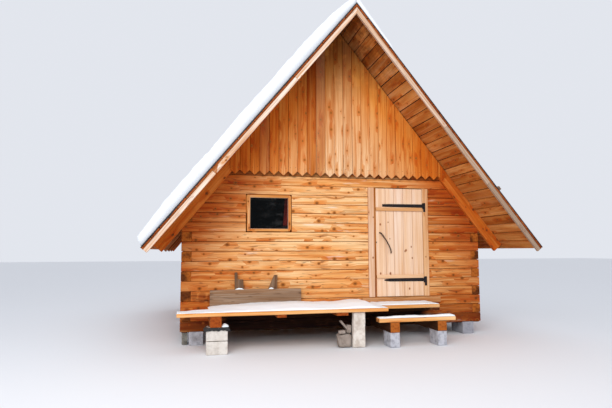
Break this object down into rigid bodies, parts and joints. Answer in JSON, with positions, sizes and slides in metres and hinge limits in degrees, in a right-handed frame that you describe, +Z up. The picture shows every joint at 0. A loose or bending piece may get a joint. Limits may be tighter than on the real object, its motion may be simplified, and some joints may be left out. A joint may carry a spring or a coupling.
{
  "type": "timber cottage",
  "caption": "Small log-walled cottage with a steep boarded roof over a plank porch, a boarded door on strap hinges and a small window.",
  "frame": {"origin": "on the ground under the middle of the roof", "axes": "+X to the right as the door is faced, +Y from the front to the back, +Z up"},
  "size_m": [6, 6.5, 5.2473],
  "materials": {
    "pine_log": "square-sawn pine log, weathered to a warm orange, with dark knots",
    "orange_board": "sawn pine board, deep orange",
    "pale_board": "pale planed pine",
    "door_board": "planed pine board, pale peach",
    "porch_plank": "thick sawn plank, light orange",
    "weathered_board": "grey-brown weathered board with fine cracks",
    "dark_timber": "dark damp timber",
    "branch": "bare crooked branch",
    "block": "rough off-white masonry block",
    "roof_felt": "dull black bitumen felt",
    "black_iron": "black painted iron, dull",
    "window_glass": "clear pane before a dark room",
    "snow": "settled snow, soft and matt"
  },
  "bodies": {
    "house": {"front_wall_base": "pine_log", "front_wall_left": "pine_log", "front_wall_right": "pine_log", "front_wall_top": "pine_log", "back_wall": "pine_log", "left_wall": "pine_log", "right_wall": "pine_log", "floor": "pine_log", "rafter_left_1": "orange_board", "rafter_left_2": "orange_board", "rafter_left_3": "orange_board", "rafter_left_4": "orange_board", "rafter_left_5": "orange_board", "rafter_right_1": "orange_board", "rafter_right_2": "orange_board", "rafter_right_3": "orange_board", "rafter_right_4": "orange_board", "rafter_right_5": "orange_board", "roof_boards_left": "orange_board", "roof_boards_right": "orange_board", "roof_felt": "roof_felt", "roof_snow_left": "snow", "roof_snow_right": "snow", "front_verge_left": "pale_board", "front_verge_right": "pale_board", "back_verge_left": "pale_board", "back_verge_right": "pale_board", "front_gable": "orange_board", "back_gable": "orange_board", "window_frame": "orange_board", "window_glass": "window_glass", "door_post_left": "pale_board", "door_post_right": "pale_board", "hinge_plate_low": "black_iron", "hinge_plate_high": "black_iron", "door_sill_board": "weathered_board", "leaning_bench": "weathered_board", "porch_plank_outer": "porch_plank", "porch_plank_inner": "porch_plank", "porch_beam": "orange_board", "porch_ledger": "dark_timber", "porch_pier": "block", "porch_post": "block", "step_plank": "porch_plank", "step_bearer_1": "orange_board", "step_bearer_2": "orange_board", "step_block_1": "block", "step_block_2": "block", "block_front_left": "block", "block_front_right": "block", "block_middle_left": "block", "block_middle_right": "block", "block_back_left": "block", "block_back_right": "block"},
    "door": {"door_boards": "door_board", "door_ledge_low": "door_board", "door_ledge_high": "door_board", "door_strap_low": "black_iron", "door_strap_high": "black_iron", "door_handle": "branch"}
  },
  "joints": [
    {"name": "door_swing", "type": "hinge", "parent": "house", "child": "door", "pos_m": [1.458, -2.2783, 1.55], "axis": [0, 0, 1], "range_deg": [0, 110]}
  ]
}
